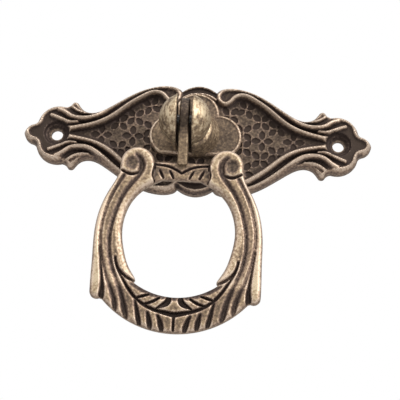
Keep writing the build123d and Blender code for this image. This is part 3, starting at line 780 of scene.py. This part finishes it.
# Size of the grain, blotches and scratches, in cycles a metre, and what each adds to the wear and painted light; the
# steepness takes its weight away, which darkens slopes as wear and as painted shade.
GRAIN_SCALE, BLOTCH_SCALE, SCRATCH_SCALE = 1500, 160, 1100
NEAR_WEIGHT, FAR_WEIGHT, STEEP_WEAR_AND_SHADE_WEIGHT, GRAIN_WEIGHT, BLOTCH_WEIGHT = 1.4, 0.4, 0.07, 1.2, 0.35
ROUGHEST = 0.64
RUBBED_SMOOTH = 0.12


def brass(name, base, seed, scratched=0.0):
    """Antique brass: dark patina in the hollows, bronze between, and metal rubbed bright on what stands proud.

    The wear and painted light is a base, plus the weighted rises and noises, minus the weighted steepness, which
    darkens slopes as wear and as painted shade. It picks the patina's colour and smooths the metal. Scratches show
    where the far rise is high.
    """
    material = bpy.data.materials.new(name)
    material.use_nodes = True
    nodes, links = material.node_tree.nodes, material.node_tree.links
    shader = nodes["Principled BSDF"]
    spot = nodes.new("ShaderNodeTexCoord")

    def noise(scale, detail, shift, stretch=(1, 1, 1)):
        move = nodes.new("ShaderNodeMapping")
        move.inputs["Location"].default_value = (shift + seed, shift, seed)
        move.inputs["Scale"].default_value = stretch
        texture = nodes.new("ShaderNodeTexNoise")
        texture.inputs["Scale"].default_value = scale
        texture.inputs["Detail"].default_value = detail
        links.new(spot.outputs["Object"], move.inputs["Vector"])
        links.new(move.outputs["Vector"], texture.inputs["Vector"])
        return texture.outputs["Fac"]

    def math(operation, a, b):
        node = nodes.new("ShaderNodeMath")
        node.operation = operation
        for socket, value in zip(node.inputs, (a, b)):
            if isinstance(value, (int, float)):
                socket.default_value = value
            else:
                links.new(value, socket)
        return node.outputs[0]

    def attribute(label):
        node = nodes.new("ShaderNodeAttribute")
        node.attribute_name = label
        return node.outputs["Fac"]

    def weighted(value, weight):
        return math("MULTIPLY", value, weight)

    def centred(value):
        return math("SUBTRACT", value, 0.5)

    grain = noise(GRAIN_SCALE, 5, 0)
    blotch = noise(BLOTCH_SCALE, 3, 5)
    height = math("ADD", weighted(attribute("near_rise"), NEAR_WEIGHT), weighted(attribute("far_rise"), FAR_WEIGHT))
    # Steep slopes are darker, as wear and as painted shade.
    height = math("SUBTRACT", height, weighted(attribute("steepness"), STEEP_WEAR_AND_SHADE_WEIGHT))
    wear_and_painted_light = math("ADD", math("ADD", height, base), weighted(centred(grain), GRAIN_WEIGHT))
    wear_and_painted_light = math("ADD", wear_and_painted_light, weighted(centred(blotch), BLOTCH_WEIGHT))
    rubbed = math("MAXIMUM", attribute("far_rise"), 0)
    scratches = centred(noise(SCRATCH_SCALE, 5, 9, (1, 1, 0.35)))
    wear_and_painted_light = math("ADD", wear_and_painted_light, weighted(math("MULTIPLY", scratches, rubbed), scratched))
    ramp = nodes.new("ShaderNodeValToRGB")
    steps = ramp.color_ramp.elements
    steps[0].position, steps[1].position = PATINA[0][0], PATINA[-1][0]
    for position, _ in PATINA[1:-1]:
        steps.new(position)
    for step, (_, colour) in zip(steps, PATINA):
        step.color = (*colour, 1)
    links.new(wear_and_painted_light, ramp.inputs["Fac"])
    # Steep slopes are tinted purple, as patina and as painted shade.
    slope = nodes.new("ShaderNodeValToRGB")
    slope.color_ramp.elements[0].color = (*FLAT_TINT, 1)
    slope.color_ramp.elements[1].color = (*STEEP_PATINA_AND_SHADE_TINT, 1)
    slope.color_ramp.elements[1].position = STEEP_START
    links.new(math("ADD", attribute("steepness"), centred(blotch)), slope.inputs["Fac"])
    tint = nodes.new("ShaderNodeMix")
    tint.data_type = "RGBA"
    tint.blend_type = "MULTIPLY"
    tint.inputs["Factor"].default_value = 1
    links.new(ramp.outputs["Color"], tint.inputs["A"])
    links.new(slope.outputs["Color"], tint.inputs["B"])
    links.new(tint.outputs["Result"], shader.inputs["Base Color"])
    shader.inputs["Metallic"].default_value = 0.8
    rough = math("SUBTRACT", ROUGHEST, weighted(math("MINIMUM", wear_and_painted_light, 1), RUBBED_SMOOTH))
    links.new(rough, shader.inputs["Roughness"])
    bump = nodes.new("ShaderNodeBump")
    bump.inputs["Strength"].default_value = 0.25
    bump.inputs["Distance"].default_value = 0.0001
    links.new(grain, bump.inputs["Height"])
    links.new(bump.outputs["Normal"], shader.inputs["Normal"])
    return material


def dark_steel():
    """Dark oiled steel with fine drawn lines along the pin."""
    material = bpy.data.materials.new("pin_steel")
    material.use_nodes = True
    nodes, links = material.node_tree.nodes, material.node_tree.links
    shader = nodes["Principled BSDF"]
    spot = nodes.new("ShaderNodeTexCoord")
    stretch = nodes.new("ShaderNodeMapping")
    stretch.inputs["Scale"].default_value = (0.05, 1, 1)
    lines = nodes.new("ShaderNodeTexNoise")
    lines.inputs["Scale"].default_value = 3000
    ramp = nodes.new("ShaderNodeValToRGB")
    ramp.color_ramp.elements[0].color = (0.03, 0.028, 0.026, 1)
    ramp.color_ramp.elements[1].color = (0.16, 0.15, 0.14, 1)
    links.new(spot.outputs["Object"], stretch.inputs["Vector"])
    links.new(stretch.outputs["Vector"], lines.inputs["Vector"])
    links.new(lines.outputs["Fac"], ramp.inputs["Fac"])
    links.new(ramp.outputs["Color"], shader.inputs["Base Color"])
    shader.inputs["Metallic"].default_value = 0.9
    shader.inputs["Roughness"].default_value = 0.5
    return material


def pale_floor():
    """Plain pale floor well below the handle, which hangs on a drawer front."""
    bpy.ops.mesh.primitive_plane_add(size=4, location=(0, 0, -0.3))
    floor = bpy.context.object
    floor.name = "floor"
    material = bpy.data.materials.new("floor_paint")
    material.use_nodes = True
    material.node_tree.nodes["Principled BSDF"].inputs["Base Color"].default_value = (0.85, 0.85, 0.85, 1)
    floor.data.materials.append(material)


def white_world():
    """World that camera, mirror and glass rays see as white, and that lights the rest at a plain level."""
    world = bpy.data.worlds.new("studio")
    bpy.context.scene.world = world
    world.use_nodes = True
    nodes, links = world.node_tree.nodes, world.node_tree.links
    nodes.clear()
    path = nodes.new("ShaderNodeLightPath")
    seen = path.outputs["Is Camera Ray"]
    for ray in ("Is Glossy Ray", "Is Transmission Ray"):
        either = nodes.new("ShaderNodeMath")
        either.operation = "MAXIMUM"
        links.new(seen, either.inputs[0])
        links.new(path.outputs[ray], either.inputs[1])
        seen = either.outputs[0]
    strength = nodes.new("ShaderNodeMapRange")
    strength.inputs["To Min"].default_value = 0.5
    strength.inputs["To Max"].default_value = 1.0
    links.new(seen, strength.inputs["Value"])
    background = nodes.new("ShaderNodeBackground")
    background.inputs["Color"].default_value = (1, 1, 1, 1)
    links.new(strength.outputs[0], background.inputs["Strength"])
    output = nodes.new("ShaderNodeOutputWorld")
    links.new(background.outputs[0], output.inputs["Surface"])


def place_in_scene(name, data, axes, place):
    """Object for a lamp or a camera at a place in metres, with its right, up and back directions."""
    holder = bpy.data.objects.new(name, data)
    bpy.context.scene.collection.objects.link(holder)
    holder.matrix_world = Matrix([[*row, p] for row, p in zip(np.stack(axes, 1), place)] + [[0, 0, 0, 1]])
    return holder


def soft_lamp(name, place, size, power):
    """Square lamp at a place in metres, facing the middle of the handle."""
    lamp = bpy.data.lights.new(name, "AREA")
    lamp.size = size
    lamp.energy = power
    back = np.array(place) - np.array(HANDLE_MIDDLE)
    back = back / np.linalg.norm(back)
    right = np.cross([0, 0, 1], back)
    right = right / np.linalg.norm(right)
    place_in_scene(name, lamp, [right, np.cross(back, right), back], place)


def photo_camera():
    """Camera at the photograph's angle: azimuth, elevation and roll round a point of the drawer front's plane."""
    azimuth, elevation, roll = np.radians(CAMERA_TURNS)
    back = np.array([np.sin(azimuth) * np.cos(elevation), -np.cos(azimuth) * np.cos(elevation), np.sin(elevation)])
    level = np.array([np.cos(azimuth), np.sin(azimuth), 0])
    upright = np.cross(level, -back)
    right = np.cos(roll) * level + np.sin(roll) * upright
    up = np.cos(roll) * upright - np.sin(roll) * level
    camera = bpy.data.cameras.new("camera")
    camera.sensor_width = SENSOR_WIDTH
    camera.lens = FOCAL_PIXELS / PHOTO_PIXELS * SENSOR_WIDTH
    camera.clip_start = 0.01
    place = (np.array(CAMERA_TARGET) + CAMERA_DISTANCE * back) * MM
    bpy.context.scene.camera = place_in_scene("camera", camera, [right, up, back], place)


def flat(x, z, depth):
    """Point of the plate or the foot at a place and a depth."""
    return x, -depth, z


def hanging(x, z, depth):
    """Point of the ring at a place and a depth. The ring hangs off the middle of the plate, under the head."""
    return HEAD_X + x, -depth, z


def foot_back(x, z, inner):
    """Flat back of the foot, on the plate's field."""
    return np.full(x.shape, FIELD_DEPTH)


def corners(box):
    """Both corners of a box as plain lists."""
    return [list(corner) for corner in box]


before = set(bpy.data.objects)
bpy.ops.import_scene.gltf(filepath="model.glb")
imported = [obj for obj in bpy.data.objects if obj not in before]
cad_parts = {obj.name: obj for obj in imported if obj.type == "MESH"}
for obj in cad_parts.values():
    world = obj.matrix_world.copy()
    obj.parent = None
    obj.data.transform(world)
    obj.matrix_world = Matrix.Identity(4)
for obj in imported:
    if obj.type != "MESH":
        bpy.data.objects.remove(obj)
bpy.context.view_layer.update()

plate_brass = brass("plate_brass", 0.33, 1)
post_brass = brass("post_brass", 0.45, 2, 2.4)
pull_brass = brass("pull_brass", 0.47, 3)

plate = make_piece("back_plate_relief", joined(casting(
    (-TIP_X - 0.3, -16.9), (TIP_X + 0.3, 16.9), PLATE_STEP, plate_outline, plate_front, plate_back, flat, PLATE_GROUND,
    plate_tone,
)), plate_brass)
ring = make_piece("ring_pull_relief", joined(
    casting((-23, -59.4), (23, -7.4), RING_STEP, pull_outline, pull_front, pull_back, hanging, RING_GROUND, pull_tone),
    tongue_shell(),
), pull_brass)
post = make_piece("post_relief", joined(
    casting((-15, -6), (15, 14), POST_STEP, foot_outline, foot_front, foot_back, flat, FOOT_GROUND, foot_tone),
    *head_shells(),
    # Plug on the slot's floor, with painted shade.
    tube(PLUG_RADIUS, FOOT_FRONT - 0.4, SLOT_FLOOR, POST_X - 1, NECK_RISE, PLUG_PAINTED_SHADE),
    tube(TENON_RADIUS, 0.5, 4.0, POST_X),
    tube(RIVET_RADIUS, 0.0, RIVET_HEIGHT, POST_X),
), post_brass)

for piece, body, node, slot in (
    (plate, "plate", "back_plate", "plate_brass"),
    (post, "plate", "post", "post_brass"),
    (ring, "ring", "ring_pull", "pull_brass"),
):
    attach(piece, body)
    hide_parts(node)

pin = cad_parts["pivot_pin"]
pin.data.materials.clear()
pin.data.materials.append(dark_steel())

pale_floor()
white_world()
for lamp in LAMPS:
    soft_lamp(*lamp)
photo_camera()
bpy.context.scene.view_settings.view_transform = "Standard"
